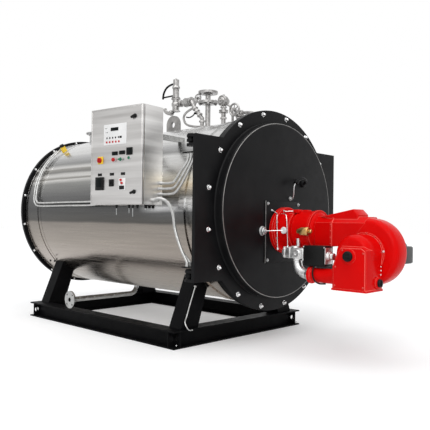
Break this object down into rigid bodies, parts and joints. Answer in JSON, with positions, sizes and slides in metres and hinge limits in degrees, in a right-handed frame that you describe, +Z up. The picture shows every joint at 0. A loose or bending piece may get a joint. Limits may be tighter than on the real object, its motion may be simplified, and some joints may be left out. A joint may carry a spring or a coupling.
{
  "type": "industrial boiler",
  "caption": "Horizontal fire-tube steam boiler on a beam skid, with a jacketed barrel, a hinged front door carrying a gas burner, and a side control cabinet.",
  "frame": {"origin": "on the ground under the middle of the front cross beam", "axes": "+Z up, the burner faces -Y, the cabinet is on the -X side"},
  "size_m": [2.0815, 3.9733, 2.379],
  "materials": {
    "black_paint": "satin",
    "stainless": "polished",
    "steel": "satin",
    "conduit": "satin",
    "red_paint": "gloss",
    "refractory": "matte",
    "yellow_plastic": "satin",
    "orange_paint": "satin",
    "white_panel": "gloss",
    "black_plastic": "satin"
  },
  "bodies": {
    "boiler": {"base_rail_left": "black_paint", "base_rail_right": "black_paint", "base_cross_front": "black_paint", "base_cross_rear": "black_paint", "leg_front_left": "black_paint", "leg_front_right": "black_paint", "leg_rear_left": "black_paint", "leg_rear_right": "black_paint", "front_flange": "black_paint", "boiler_shell": "black_paint", "jacket": "stainless", "rear_flange": "black_paint", "rear_cover": "black_paint", "tube_plate": "black_paint", "furnace_tube": "steel", "smoke_tubes": "steel", "flue_outlet": "black_paint", "lifting_lug": "black_paint", "steam_nozzle": "steel", "safety_valve": "steel", "vent_valve": "steel", "feed_valve": "steel", "drain_pipe": "stainless", "rear_sensor": "yellow_plastic", "rear_conduits": "conduit", "hinge_bracket": "black_paint", "latch_bracket": "black_paint", "gland_plates": "black_paint", "cabinet_bracket": "black_paint", "cabinet_box": "stainless", "mounting_plate": "orange_paint", "upper_conduits": "conduit", "lower_conduits": "conduit", "earth_wire": "conduit"},
    "front_door": {"door_plate": "black_paint", "door_dish": "black_paint", "door_lining": "refractory", "sight_port": "black_paint", "burner_plate": "black_paint", "burner_flange": "red_paint", "burner_head": "red_paint", "blast_tube": "steel", "fan_scroll": "red_paint", "air_box": "red_paint", "air_knobs": "black_plastic", "fan_motor": "black_paint", "gas_valve": "steel", "gas_pipe": "red_paint", "valve_actuator": "black_plastic"},
    "cabinet_door_leaf": {"cabinet_door": "stainless", "display_panel": "white_panel", "door_instruments": "black_plastic"}
  },
  "joints": [
    {"name": "front_door_swing", "type": "hinge", "parent": "boiler", "child": "front_door", "pos_m": [-0.888, -0.295, 1.09], "axis": [0, 0, -1], "range_deg": [0, 90]},
    {"name": "cabinet_door_swing", "type": "hinge", "parent": "boiler", "child": "cabinet_door_leaf", "pos_m": [-1.13112, 0.59795, 1.494], "axis": [0, 0, -1], "range_deg": [0, 110]}
  ]
}
